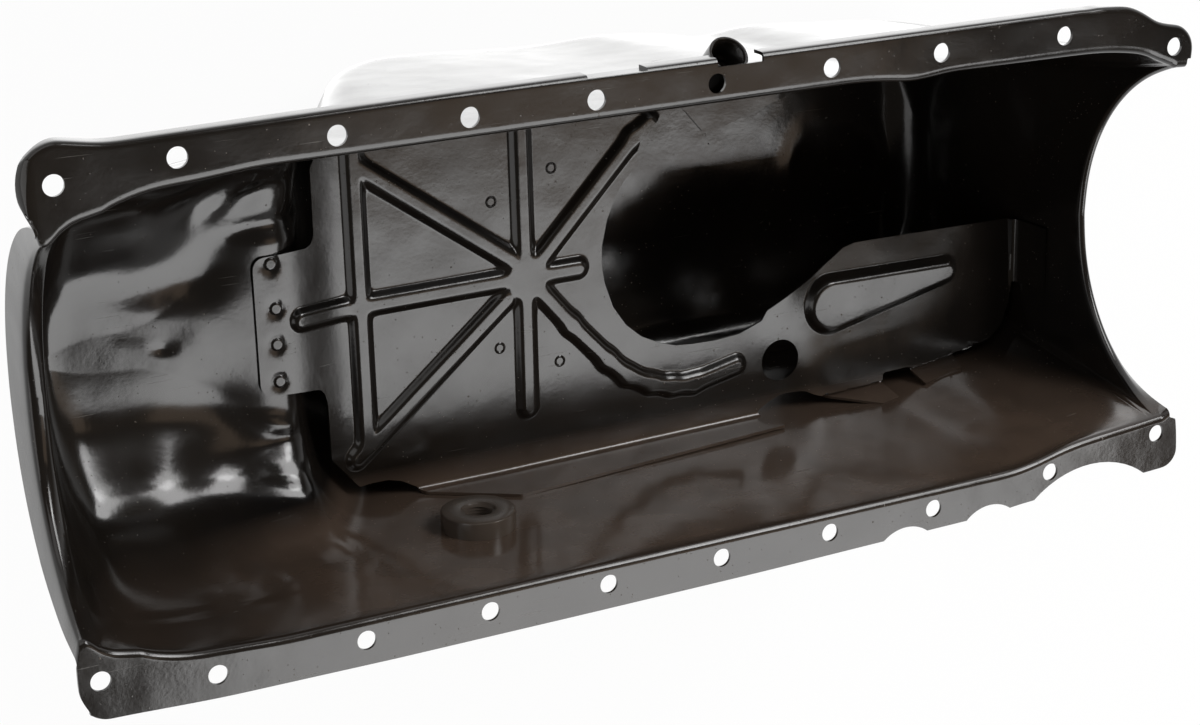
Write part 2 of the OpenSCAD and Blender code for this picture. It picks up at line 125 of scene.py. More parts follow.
def arc(cx, cy, r, start, end, steps):
    """Points of an arc between two angles in degrees."""
    angles = [radians(mix(start, end, j / steps)) for j in range(steps + 1)]
    return [(cx + r * cos(a), cy + r * sin(a)) for a in angles]


def along(path, t):
    """Point at a share of a path, counted in its points."""
    u = t * (len(path) - 1)
    i = min(floor(u), len(path) - 2)
    return tuple(mix(p, q, u - i) for p, q in zip(path[i], path[i + 1]))


# Keel line of the inner surface: station, depth, bend radius, steps
KEEL_STEP = 17
KEEL = spread(rounded([
    (-5.5, FRONT_SADDLE + FRONT_FALL, 0, 0), (-4.2, FRONT_SADDLE, 3.5, 3), (5, FRONT_SADDLE, 4, 3),
    (16, TROUGH, 10, 4), (145, TROUGH, 16, 3), (211, FLOOR_DEPTH, 40, 5), (586, FLOOR_DEPTH, 26, 6),
    (590.5, REAR_SADDLE, 2.6, 3), (594.5, REAR_SADDLE, 2.6, 2),
    (604, REAR_SADDLE + REAR_FALL, 0, 0)]), KEEL_STEP)
FRONT_TIP, FRONT_END, REAR_START, REAR_TOP = -8.8, 17, 559, 592.5

# Half widths of the mouth by station, where its lines would meet the rail
MOUTH_FRONT = [(-10, 90), (-4, 92), (1, 96.7), (7, 100.5), (21, 103.3), (28, 107.7), (37, 109.8), (69, 111),
               (80, 113.2)]
MOUTH = {
    1: MOUTH_FRONT + [(400, 113.2), (413, 112), (423, 109.4), (432, 109.4), (442, 112), (540, 111.4),
                      (553, 110.5), (571, 107.1), (580, 103), (589, 99.2), (597, 93.4)],
    -1: MOUTH_FRONT + [(90, 112.4), (500, 112.4), (514, 108.9), (526, 105.5), (544, 103.5), (578, 101),
                       (594, 99.6), (600, 94)]}
# Slopes of the side walls by station, and the radii where they meet the floor
SLOPE = {
    1: [(16, 0.066), (120, 0.066), (190, 0.026), (255, 0.026), (312, 0.043), (342, 0.043), (362, 0.034),
        (424, 0.06), (440, 0.064), (458, 0.052), (520, 0.073), (559, 0.083)],
    -1: [(16, 0.066), (120, 0.066), (190, 0.026), (255, 0.026), (400, 0.045), (500, 0.052), (559, 0.055)]}
CORNER_R = [(16, 95), (75, 95), (122, 62), (150, 60), (175, 56), (200, 45), (232, 25), (559, 25)]
# Sections at the ends: lean, slopes, corner radius, half widths of the mouth
LIP_SECTION = (0.05, 0.092, 0.092, 96, 97.5, 97.5)
FRONT_CREST = (0.06, 0.36, 0.36, 96, 89.5, 89.5)
REAR_RIM = (0.067, 0.043, 0.043, 92, 94, 94)
# How the side walls close in as the rear wall rises
REAR_SLOPE = [(0, 0.083), (0.08, 0.136), (0.34, 0.172), (0.84, 0.215), (1, 0.3)]
REAR_CORNER = (25, 104)
REAR_TILT, REAR_EASE = 0.02, 0.06


def bend_reach(slope):
    """How far the bend at the mouth reaches along the rail and down the wall."""
    return MOUTH_BEND * tan((pi / 2 - atan(slope)) / 2)


def wall_slope(x, side):
    return straight(x, SLOPE[side])


def wall_mouth(x, side, slope):
    return straight(x, MOUTH[side]) - bend_reach(slope)


def wall_half(x, side, depth):
    s = wall_slope(x, side)
    return wall_mouth(x, side, s) - s * depth


def front_wall_section(x, depth):
    t = clamp01((depth - FRONT_SADDLE) / (TROUGH - FRONT_SADDLE))
    s = mix(FRONT_CREST[1], wall_slope(FRONT_END, 1), t)
    lean = mix(FRONT_CREST[0], 0, t)
    w = straight(x - lean * depth, MOUTH[1]) - bend_reach(s)
    return (lean, s, s, mix(FRONT_CREST[3], CORNER_R[0][1], t), w, w)


def rear_wall_section(x, depth):
    t = clamp01((FLOOR_DEPTH - depth) / (FLOOR_DEPTH - REAR_SADDLE))
    s, start = straight(t, REAR_SLOPE), clamp01(t / REAR_EASE)
    sl = mix(wall_slope(REAR_START, 1), s, start)
    sr = mix(wall_slope(REAR_START, -1), s, start)
    lean = REAR_TILT * t
    x0 = x - lean * depth
    return (lean, sl, sr, mix(*REAR_CORNER, sqrt(t)), wall_mouth(x0, 1, sl), wall_mouth(x0, -1, sr))


def section_at(x, depth):
    """Section at a point of the keel: lean, slopes, corner radius, half widths of the mouth."""
    if x < 0:
        t = clamp01((depth - FRONT_SADDLE) / FRONT_FALL)
        return tuple(mix(a, b, t) for a, b in zip(FRONT_CREST, LIP_SECTION))
    if x < FRONT_END:
        return front_wall_section(x, depth)
    if x < REAR_START:
        sl, sr = wall_slope(x, 1), wall_slope(x, -1)
        return (0, sl, sr, straight(x, CORNER_R), wall_mouth(x, 1, sl), wall_mouth(x, -1, sr))
    if x < REAR_TOP:
        return rear_wall_section(x, depth)
    t = clamp01((depth - REAR_SADDLE) / REAR_FALL)
    return tuple(mix(a, b, t) for a, b in zip(rear_wall_section(REAR_TOP, REAR_SADDLE), REAR_RIM))


BEND_ANGLES = [radians(a) for a in (22, 45, 68)]
WALL_SHARES = (0, 0.06, 0.35, 0.68, 0.94)
FILLET_STEPS = 8


def half_section(mouth, slope, depth, radius):
    """One side of a section, from inside the rail to the centreline: (half width, depth)."""
    tilt = atan(slope)
    turn = tan((pi / 2 - tilt) / 2)
    foot, reach = mouth - slope * depth, bend_reach(slope)
    r = min(radius, (foot - 1) / turn, (depth / cos(tilt) - reach - 1) / turn)
    cx, cy = foot - r * turn, depth - r
    start = (mouth - slope * (cy + r * sin(tilt)), cy + r * sin(tilt))
    bend_end = (mouth - reach * sin(tilt), reach * cos(tilt))
    bend = [(mouth + reach - MOUTH_BEND * sin(a), MOUTH_BEND * (1 - cos(a))) for a in BEND_ANGLES]
    wall = [(mix(bend_end[0], start[0], t), mix(bend_end[1], start[1], t)) for t in WALL_SHARES]
    turns = [mix(tilt, pi / 2, j / FILLET_STEPS) for j in range(FILLET_STEPS + 1)]
    fillet = [(cx + r * cos(a), cy + r * sin(a)) for a in turns]
    rail = [(mouth + reach + 0.8, 0), (mouth + reach, 0)]
    return rail + bend + wall + fillet + [(cx * 0.9, depth), (cx / 2, depth)]


# Outer edges of the rails: half widths by station, with the lugs at the corners
LEFT_EDGE = 131.4
RAIL_SIDE = {
    1: [(20, 129.8), (54, 130.2), (110, 130.9), (180, LEFT_EDGE), (534, LEFT_EDGE)],
    -1: [(20, 129.4), (54, 131.1), (140, 132.2), (240, 132.4), (340, 132.2), (412, 131.3), (484, 130.6),
         (500, 128), (560, 127.6)]}
LUG, LUG_R = (2.6, 115.6), 17.7
RAIL_FRONT = {
    1: arc(LUG[0], LUG[1], LUG_R, 135, 84, 9) + [(14, 131.4), (24.4, 129.7)],
    -1: arc(4, 114.3, 14.4, 135, 88, 7) + [(14, 129), (24.4, 129.6)]}
RAIL_REAR = {
    1: [(534.7, 131), (541, 131.4), (547, 130.8), (553, 130.4), (559, 129.7), (565, 127.8), (571, 124.6),
        (577, 120.7), (583, 118.4)] + arc(588.5, 103.4, 13.8, 84, -4, 8) + [(601.8, 98.5)],
    -1: [(534.7, 127.9), (551, 127.7), (566, 127.4), (581, 127.2)] + arc(593.6, 116.6, 10, 88, 6, 6)
    + [(603, 108), (602, 99.5)]}
# Points between the mouth and the edge of a rail: share of the way, and how far they move at the front
BULGE = {1: ((0.68, -3.6, 0.3), (0.33, -4.4, -3.5)), -1: ((0.68, -3.2, 0), (0.33, -2.4, 0))}
FRONT_ROW = next(i for i, p in enumerate(KEEL) if p[0] >= 24)
REAR_ROW = next(i for i, p in enumerate(KEEL) if p[0] >= 533)
FIRST_FLAT = next(i for i, p in enumerate(KEEL) if p[1] < FRONT_SADDLE + 3.2)
LAST = len(KEEL) - 1
# Turned lip of the +Y rail, which runs on round the corner of its front lug
LIP_BEND = 2.5
FRONT_LIP = 4.5
LIP_HEIGHTS = [(-7, FRONT_LIP), (6, 9), (541, 9), (552, 3)]
LIP_FOLD = [(0, LIP_BEND), (0.12, 1.25), (0.5, 0.33), (1, 0), (1.35, 0)]
LUG_START, LUG_SWEEP = 135, 17
RIM_STEP = 0.8


def rail_edge(i, side):
    """Outer edge of a rail at one row: station, half width."""
    if i <= FRONT_ROW:
        t = clamp01((i - FIRST_FLAT) / (FRONT_ROW - FIRST_FLAT))
        return along(RAIL_FRONT[side], t)
    if i >= REAR_ROW:
        return along(RAIL_REAR[side], (i - REAR_ROW) / (LAST - REAR_ROW))
    return KEEL[i][0], straight(KEEL[i][0], RAIL_SIDE[side])


def edge_inward(i, side):
    """Direction in from the outer edge of a rail at one row."""
    ax, ay = rail_edge(max(i - 1, min(i, FIRST_FLAT)), side)
    bx, by = rail_edge(min(max(i, FIRST_FLAT) + 1, LAST), side)
    return unit(by - ay, ax - bx)


def rail_row(i, side, mouth):
    """Turned lip and flat of a rail at one row, from its outer edge in: (x, half width, depth)."""
    ex, ey = rail_edge(i, side)
    nx, ny = edge_inward(i, side)
    w = max(0.0, 1 - max(0, i - FIRST_FLAT) / FRONT_ROW) ** 2
    fall = clamp01((KEEL[i][1] - FRONT_SADDLE) / FRONT_FALL) if KEEL[i][0] < 0 else 0
    drop = FRONT_LIP * fall if side > 0 else 0
    if side < 0:
        rim = [(ex, ey, 0.0), (ex + RIM_STEP * nx, ey + RIM_STEP * ny, 0.0)]
    else:
        deep = straight(ex, LIP_HEIGHTS)
        rim = []
        fold = [(0, deep), (0, deep - 0.6)] + LIP_FOLD
        for j in range(len(fold)):
            t = j / (len(fold) - 1)
            if fall > 0:
                # the turned lip runs round the corner of the lug and becomes the lip of its front edge
                corner = radians(LUG_START + LUG_SWEEP * fall * (0.4 + 0.6 * t))
                nx, ny = -cos(corner), -sin(corner)
                ex, ey = LUG[0] - LUG_R * nx, LUG[1] - LUG_R * ny
            inward, down = along(fold, min(t, 1 - fall))
            rim.append((ex + nx * LIP_BEND * inward, ey + ny * LIP_BEND * inward, down))
    start = rim[-1]
    flat = []
    for share, dx, dy in BULGE[side]:
        x, y = mix(mouth[0], start[0], share), mix(mouth[1], start[1], share)
        flat.append((x + dx * w, y + dy * w, drop))
    return rim + flat


def shell_rows():
    """Grid of points over the inside of the shell, a row for each point of the keel, in millimetres."""
    rows = []
    for i, (x, depth) in enumerate(KEEL):
        lean, sl, sr, r, wl, wr = section_at(x, depth)
        left, right = half_section(wl, sl, depth, r), half_section(wr, sr, depth, r)
        x0 = max(x - lean * depth, FRONT_TIP)
        row = [(q[0], q[1], PAN_DEPTH - q[2]) for q in rail_row(i, 1, (x0, left[0][0]))]
        line = left + [(0, depth)] + [(-h, d) for h, d in reversed(right)]
        row += [(x + lean * (d - depth), h, PAN_DEPTH - d) for h, d in line]
        row += [(q[0], -q[1], PAN_DEPTH - q[2]) for q in reversed(rail_row(i, -1, (x0, right[0][0])))]
        rows.append([Vector((p[0] - MID_STATION, p[1], p[2])) * MM for p in row])
    return rows


def new_object(name, bm):
    mesh = bpy.data.meshes.new(name)
    bm.to_mesh(mesh)
    bm.free()
    obj = bpy.data.objects.new(name, mesh)
    bpy.context.scene.collection.objects.link(obj)
    return obj


def settle(obj):
    """Applies the modifiers of an object to its mesh."""
    graph = bpy.context.evaluated_depsgraph_get()
    graph.update()
    mesh = bpy.data.meshes.new_from_object(obj.evaluated_get(graph))
    obj.modifiers.clear()
    old, obj.data = obj.data, mesh
    bpy.data.meshes.remove(old)
    return obj


def grid_of(points):
    """Bmesh grid laid over rows of points."""
    rows, cols = len(points), len(points[0])
    bm = bmesh.new()
    bmesh.ops.create_grid(bm, x_segments=cols - 1, y_segments=rows - 1, size=1)
    for v in bm.verts:
        i = round((v.co.y + 1) / 2 * (rows - 1))
        j = round((v.co.x + 1) / 2 * (cols - 1))
        v.co = points[i][j]
    return bm


def cutter(name, shapes):
    """One hidden tool made of cylinders and boxes: each is a radius or a size, a height and a place."""
    bm = bmesh.new()
    for size, height, place in shapes:
        if isinstance(size, tuple):
            bmesh.ops.create_cube(bm, size=1, matrix=place @ Matrix.Diagonal((*size, height, 1)))
        else:
            bmesh.ops.create_cone(bm, cap_ends=True, segments=64, radius1=size, radius2=size, depth=height,
                                  matrix=place)
    return new_object(name, bm)


def ease_edges(obj, width):
    """Takes the sharpness off the cut edges of a sheet."""
    ease = obj.modifiers.new("ease", "BEVEL")
    ease.limit_method = "ANGLE"
    ease.angle_limit = radians(66)
    ease.width = width * MM
    ease.segments = 1
    return settle(obj)


def carve(obj, tool, operation="DIFFERENCE"):
    """Cuts a tool out of an object, or keeps what both share, and drops the tool."""
    cut = obj.modifiers.new("cut", "BOOLEAN")
    cut.operation = operation
    cut.solver = "MANIFOLD"
    cut.object = tool
    settle(obj)
    bpy.data.objects.remove(tool)
    return obj


def at(x, y, z):
    """Place in the frame from a station, a half width and a height in millimetres."""
    return Matrix.Translation(Vector((x - MID_STATION, y, z)) * MM)


# Rail holes: stations, and how far in from the bolt line each one stands
PITCH, BOLT_R = 63.5, 4.75
BOLTS = [0, 53.7] + [253.1 + PITCH * k for k in range(-2, 4)] + [518.3, 589.1]
LEFT_INSET = [4.6, 0, 0, 0, 0, 0, 0, 0, 0, 13.5]
RIGHT_INSET = [9.8, 0, 0, 0, 0, 0, 0, 0, 5.4, 13.7]
DRAIN_STATION, DRAIN_DEPTH, DRAIN_R = 218, 73, 8.5
BUNG_STATION, BUNG_Y, BUNG_DEPTH, BUNG_LEAN, BUNG_R = 329.5, 130.2, 11, 42, 6.5
# Round bites out of the -Y rail: radius, station, place across
BITES = [(21.4, 426.5, -147.8), (21.6, 479.5, -146.5)]
LONG_BITE = (59.3, 545.5, -174.2)
# Gaps in the turned lip: first and last station, half width
LIP_GAPS = [(249, 280, 129.9), (BUNG_STATION - 12.5, BUNG_STATION + 12.5, 127.2)]
# Heights of the punches through a rail, a wall and the bung's hole, and width and height of the lip's
RAIL_PUNCH, WALL_PUNCH, BUNG_PUNCH, LIP_PUNCH = 12, 20, 60, (10, 30)


def on_wall(x, side, depth):
    """Place on the inside of a side wall, with Z pointing into the pan."""
    turn = Matrix.Rotation(side * (pi / 2 - atan(wall_slope(x, side))), 4, "X")
    return at(x, side * wall_half(x, side, depth), PAN_DEPTH - depth) @ turn


def at_bung():
    """Place of the dipstick bung's mouth, with Z up along its axis."""
    return at(BUNG_STATION, BUNG_Y, PAN_DEPTH - BUNG_DEPTH) @ Matrix.Rotation(-radians(BUNG_LEAN), 4, "X")


# Creases left where the sheet gathered beside the tray: two ends in plan, reach and height
CREASES = [
    ((99, 55), (124, 76), 4.2, 1.9), ((101, 49), (150, 52), 4.2, -1.6), ((108, 41), (150, 40), 4.6, 1.0),
    ((112, 84), (150, 93), 4.6, 1.6), ((104, 66), (146, 72), 4.2, -1.2), ((116, -45), (140, -54), 3.6, 1.1),
    ((118, -62), (142, -59), 4.0, -1.2), ((112, -71), (140, -77), 4.4, 1.1),
    ((118, -82), (146, -88), 4.2, -0.9), ((96, -96), (150, -99), 6.0, -0.8),
    ((88, -90), (128, -90), 6.0, 0.7), ((40, 29), (100, 26), 9.0, -0.8), ((46, 11), (84, 3), 7.0, -0.35),
    ((74, -2), (79, -3), 2.8, -0.7), ((80, 22), (90, 20), 3.0, 0.25)]
# Soft dents of the side walls: station, side, depth, reach along, reach down, height
DENTS = [
    (96, -1, 60, 7, 22, -0.8), (105, -1, 78, 12, 10, 0.6), (470, -1, 92, 16, 9, 0.5),
    (500, -1, 78, 9, 26, -0.7), (528, -1, 88, 8, 30, 0.7), (556, -1, 84, 9, 30, -0.6),
    (250, -1, 95, 22, 12, 0.35), (420, -1, 70, 30, 12, 0.3), (300, 1, 120, 24, 26, 0.4),
    (380, 1, 150, 22, 24, -0.4), (480, 1, 140, 26, 22, 0.4)]
# Ring pressed up in the sump floor: station, radius, half width, height
RING_STATION, RING_R, RING_HALF, RING_HEIGHT = 532, 33.25, 4.2, 1.2
# Bands that flatten the trough's belly: half width, reach across, depth
BELLY = [(37, 15, 2.6), (72, 20, 5.5)]
BELLY_FRONT, BELLY_REAR, CREASE_END = 16, 136, 164
# Slow waves of the side walls: height, then lengths along, across and down
WAVE_HEIGHT, WAVES = 0.22, (34, 60, 26)


def shell_detail(p):
    """How far the small forms stand in from the drawn sheet, in millimetres, at a place in stations."""
    x, y, z = p
    h = 0.0
    depth = PAN_DEPTH - z
    if depth > 200 and abs(x - RING_STATION) < 52:
        h += RING_HEIGHT * smooth01(1.3 - abs(hypot(x - RING_STATION, y) - RING_R) / RING_HALF)
    if x < CREASE_END and depth > 40:
        belly = sum(deep * exp(-((abs(y) - half) / reach) ** 2) for half, reach, deep in BELLY)
        h -= belly * smooth01((x - BELLY_FRONT) / 18) * smooth01((BELLY_REAR - x) / 44)
        end = smooth01((CREASE_END - x) / 14)
        for a, b, reach, tall in CREASES:
            d, t = to_segment(x, y, a, b)
            if d < 3 * reach:
                h += tall * exp(-(d / reach) ** 2) * smooth01(0.15 + 1.6 * t) * end
    if 3 < depth < 205 and abs(y) > 70:
        for sx, side, sd, rx, rd, tall in DENTS:
            if side * y > 0 and abs(x - sx) < 3 * rx:
                h += tall * exp(-((x - sx) / rx) ** 2 - ((depth - sd) / rd) ** 2)
        wave = noise.noise(Vector((x / WAVES[0], y / WAVES[1], z / WAVES[2])))
        h += WAVE_HEIGHT * wave * smooth01((depth - 6) / 12)
    return h


def press_details(obj):
    """Moves the drawn sheet by its small forms, along its own normals."""
    bm = bmesh.new()
    bm.from_mesh(obj.data)
    # the rows meet in one point at the front corners
    bmesh.ops.remove_doubles(bm, verts=bm.verts, dist=0.05 * MM)
    bm.normal_update()
    inward = {}
    for v in bm.verts:
        place = (v.co.x / MM + MID_STATION, v.co.y / MM, v.co.z / MM)
        n = v.normal if v.normal.z >= -0.3 else -v.normal
        inward[v] = n * shell_detail(place) * MM
    for v, move in inward.items():
        v.co += move
    bm.to_mesh(obj.data)
    bm.free()


def punch_shell(obj):
    """Cuts the holes of the rails, the drain and the dipstick, the bites and the gaps in the lip."""
    rail = PAN_DEPTH - SHEET / 2
    sides = [(x, HALF_BOLTS - inset) for x, inset in zip(BOLTS, LEFT_INSET)]
    sides += [(x, inset - HALF_BOLTS) for x, inset in zip(BOLTS, RIGHT_INSET)]
    holes = [(BOLT_R * MM, RAIL_PUNCH * MM, at(x, y, rail)) for x, y in sides]
    holes.append((DRAIN_R * MM, WALL_PUNCH * MM, on_wall(DRAIN_STATION, -1, DRAIN_DEPTH)))
    deep = at_bung() @ Matrix.Translation((0, 0, -BUNG_PUNCH / 2 * MM))
    holes.append((BUNG_R * MM, BUNG_PUNCH * MM, deep))
    carve(obj, cutter("punches", holes))
    carve(obj, cutter("bites", [(r * MM, WALL_PUNCH * MM, at(x, y, rail)) for r, x, y in BITES]))
    # the long bite overlaps its neighbour, so it is cut on its own
    r, x, y = LONG_BITE
    carve(obj, cutter("long_bite", [(r * MM, WALL_PUNCH * MM, at(x, y, rail))]))
    gaps = []
    wide, tall = LIP_PUNCH
    for a, b, half in LIP_GAPS:
        size = ((b - a) * MM, wide * MM)
        gaps.append((size, tall * MM, at((a + b) / 2, half + wide / 2, PAN_DEPTH - 6)))
    carve(obj, cutter("lip_gaps", gaps))


def build_shell():
    obj = new_object("pan_shell_drawn", grid_of(shell_rows()))
    sub = obj.modifiers.new("smooth", "SUBSURF")
    sub.levels = sub.render_levels = 2
    settle(obj)
    press_details(obj)
    obj.vertex_groups.new(name="outside")
    wall = obj.modifiers.new("sheet", "SOLIDIFY")
    wall.thickness = SHEET * MM
    wall.offset = -1
    wall.use_even_offset = False
    wall.shell_vertex_group = "outside"
    # the outside is plainer than the inside, and needs fewer faces
    thin = obj.modifiers.new("thin", "DECIMATE")
    thin.vertex_group = "outside"
    thin.ratio = 0.63
    settle(obj)
    obj.vertex_groups.clear()
    punch_shell(obj)
    return ease_edges(obj, 0.3)


# The windage tray
TRAY_TOP = PAN_DEPTH - 127
TRAY_T = 1.6
# Folds: radii of the long flanges and of the ears, and the gap from the fold to the wall
BEND_R, EAR_R = 3.3, 2.4
FOLD_GAP, FOLD_DEPTH = 4.4, 125
SIDE_TURN, REAR_TURN = pi / 2 - 0.025, pi / 2 - 0.02
LEFT_REAR, REAR_BEND, REAR_HEIGHT = 412, 584.2, 27
# Stations where the front tab ends and the rear arm starts
TAB_END, ARM_START = 145, 425
# Step up to the tab that lies on the trough, and the stations of its ramp
TROUGH_STEP, RAMP = 7.0, (139, 176)
# Drain hole in plan
DRAIN_BACK, DRAIN_BACK_R = (428.6, -71.4), 11.75
# Beads: half width, height, width of their flanks, how softly they blend and how far off they count
BEAD_HALF, BEAD_HEIGHT, BEAD_FLANK, BEAD_SOFT, BEAD_REACH = 4.6, 2.9, 4.6, 1.3, 20
# Round top where the beads meet
HUB, HUB_R, HUB_REACH = (274.5, 1), 12.5, 32
# Centrelines of the beads in plan
BEADS = [
    ((182, 80), (182, -73)), ((149, 0), (262, 1)), ((186, 70), (266, 12)), ((176, -80), (263, -9)),
    ((274, 80), (274, 10)), ((274, -8), (273.5, -70)), ((282, 8), (339, 66)), ((284, 1), (305, 1)),
    ((282, -7), (300, -29)), ((300, -29), (321, -52)), ((321, -52), (333, -63)), ((333, -63), (347, -70)),
    ((347, -70), (360, -73.5)), ((360, -73.5), (373, -74.5)), ((373, -74.5), (400, -69)),
    ((339, 66), (349, 73))]
# The pad of the rear arm: its two ends in plan and their radii
PAD = ((462, -44.5), (538, -37), 15.0, 6.2)
PAD_HEIGHT, PAD_FLANK, REAR_LEAN = 4.0, 5.2, 0.075
# Round press marks and weld spots in plan
MARKS = [(256.8, 43.3), (291.4, 56.3), (258.7, -35.1), (293.1, -48.2)]
WELDS = [(134.4, 31.2), (135.7, 8.3), (135.2, -10.1), (135.4, -29.3)]
# A weld spot is a rise in a wider dip: height, radius and fade of both
WELD_RISE, WELD_DIP = (0.55, 3.3, 0.9), (0.5, 6.5, 4)
# The blank is cut from a grid, whose edges are halved where the sheet is pressed, folded or welded
BLANK_X, BLANK_Y, BLANK_STEP, BLANK_CORNER = (121, 618), (-140, 132), 2.8, 1.2
FINE_LENGTHS = (2.6, 1.3, 0.66)
WELD_MESH, FLANK_MESH, OPEN_MESH = 0.5, 0.9, 3


def fold_half(x, side):
    """Half width of the line where a side of the tray turns up."""
    return wall_half(x, side, FOLD_DEPTH) - FOLD_GAP


def bead_edge(x, y):
    """Distance from the middle of the beads' flanks, negative on their tops, blended where beads meet."""
    total = 0.0
    for a, b in BEADS:
        d = to_segment(x, y, a, b)[0]
        if d < BEAD_REACH:
            total += exp(-(d - BEAD_HALF) / BEAD_SOFT)
    d = hypot(x - HUB[0], y - HUB[1])
    if d < HUB_REACH:
        total += exp(-(d - HUB_R) / BEAD_SOFT)
    return 20.0 if total < 1e-5 else -BEAD_SOFT * log(total)


def pad_edge(x, y):
    """Distance from the middle of the pad's flank, negative on its top."""
    d, t = to_segment(x, y, PAD[0], PAD[1])
    return d - mix(PAD[2], PAD[3], t)


def pressed_height(x, y):
    """Height of everything pressed into the tray over its flat, in millimetres."""
    if x > ARM_START:
        # the rear arm leans a little, and the top of its pad stays level
        lean = -REAR_LEAN * (y + 60) * smooth01((x - ARM_START - 3) / 30)
        return mix(lean, PAD_HEIGHT, smooth01(0.5 - pad_edge(x, y) / PAD_FLANK))
    height = BEAD_HEIGHT * smooth01(0.5 - bead_edge(x, y) / BEAD_FLANK)
    if x < RAMP[1]:
        t = clamp01((x - RAMP[0]) / (RAMP[1] - RAMP[0]))
        height += TROUGH_STEP * (1 - mix(t, smooth01(t), 0.4))
    if x < TAB_END:
        for mx, my in WELDS:
            d = hypot(x - mx, y - my)
            rise, dip = [tall * smooth01((r - d) / fade) for tall, r, fade in (WELD_RISE, WELD_DIP)]
            height += rise - dip
    return height


def fine_step(x, y, margin):
    """The mesh size that the sheet needs within a margin of a place in the blank, in millimetres."""
    if x < TAB_END and min(hypot(x - mx, y - my) for mx, my in WELDS) < 4.5 + margin:
        return WELD_MESH
    if x > ARM_START:
        near = abs(pad_edge(x, y)) < PAD_FLANK / 2 + margin
    else:
        near = abs(bead_edge(x, y)) < BEAD_FLANK / 2 + margin
    half, angle, radius = right_bend(x)
    folds = [-y - half, x - REAR_BEND]
    if x < ARM_START:
        folds.append(y - fold_half(x, 1))
    near = near or any(-margin < d < radius * angle + margin for d in folds)
    return FLANK_MESH if near else OPEN_MESH


def right_bend(x):
    """The -Y edge's fold at a station: its half width, its angle and its radius."""
    if x < 436:
        return fold_half(x, -1), SIDE_TURN, BEND_R
    if x < 508:
        return mix(96.6, 94.8, (x - 455) / 40), radians(67), EAR_R
    return mix(91.1, 87.1, (x - 516.5) / 27), radians(71), EAR_R


def turn_up(d, radius, angle):
    """Where a point ends up that lies d beyond a fold: how far on, and how far up."""
    if d <= 0:
        return d, 0.0
    a = min(angle, d / radius)
    rest = max(0.0, d - radius * angle)
    return radius * sin(a) + rest * cos(angle), radius * (1 - cos(a)) + rest * sin(angle)


def tray_surface(x, y):
    """Middle of the pressed sheet in millimetres, from its place in the flat blank."""
    half, angle, radius = right_bend(x)
    if -y > half:
        on, rise = turn_up(-y - half, radius, angle)
        return Vector((x, -half - on, rise))
    half = fold_half(x, 1)
    if y > half and x < ARM_START:
        on, rise = turn_up(y - half, BEND_R, SIDE_TURN)
        return Vector((x, half + on, rise))
    if x > REAR_BEND:
        on, rise = turn_up(x - REAR_BEND, BEND_R, REAR_TURN)
        return Vector((REAR_BEND + on, y, rise))
    return Vector((x, y, pressed_height(x, y)))


def blank_outline():
    """Outline of the flat blank before its edges are folded up: station, place across."""
    # right and left give the places of edges that stand h over the flat once they are folded
    def right(x, h):
        half, angle, radius = right_bend(x)
        rest = max(0, h - radius * (1 - cos(angle))) / sin(angle)
        return x, -half - radius * angle - rest

    def left(x, h):
        return x, fold_half(x, 1) + BEND_R * (pi / 2 - 1) + h

    rear = REAR_BEND + BEND_R * (pi / 2 - 1) + REAR_HEIGHT
    return arc(131, 29, 6, 180, 90, 4) + [
        (154, 35.5), (157, 37.2), (158.7, 41), (158.9, 74.4), (161.4, 79), (176.7, 95.7), (196, 100),
        (207, 101.5), left(209, 20), left(217, 22), left(407, 22), left(LEFT_REAR, 14), (LEFT_REAR + 0.5, 99),
        (440, 97), (468, 93), (474, 86), (466, 80), (440, 78.5), (429, 75.3), (389.3, 63.5), (381.4, 63.5),
        (370.7, 76.1), (367, 79.5), (360, 79.5), (355.7, 75.3), (341.8, 67), (342.1, 51), (338, 48),
        (334, 44), (328.7, 36.7), (323, 24), (319.7, 10.5), (319.2, 0), (320.9, -10.4), (325.5, -24),
        (332.9, -35), (342, -43), (353.3, -48.6), (363, -51.6), (373.6, -52.6), (388, -53), (402.5, -51.9),
        (417.1, -46.9), (420.4, -41.7), (450, -28.2), (472, -14.5), (480, -12.7), (REAR_BEND, -14),
        (rear, -14), (rear, -50), (REAR_BEND + 1, -51), (583.5, -62), (577.8, -75.5), (567.5, -83.5),
        (555, -87), (544.5, -87.2), right(543, 12.5), right(517, 14), (515.5, -90.5), (512, -89.6),
        (497, -90), (495.5, -90.5), (495, -94.6), right(499, 14.5), right(487, 16), (455, -96.6), (450, -95),
        (445, -92.3), (441, -91.5), (434, -91.3), (428, -91.8), (421, -94.5), (414, -98.6), right(420, 20.4),
        right(253, 32.6), right(212, 5), (208.5, -102), (200, -97), (192.3, -95), (183, -95), (176.7, -95.7),
        (161.4, -77.4), (161.1, -47.3), (160, -42), (157.4, -38.6),
        (154, -38)] + arc(131, -30, 6, 270, 180, 4)


def steps_between(a, b, step):
    n = round((b - a) / step)
    return [mix(a, b, k / n) for k in range(n + 1)]


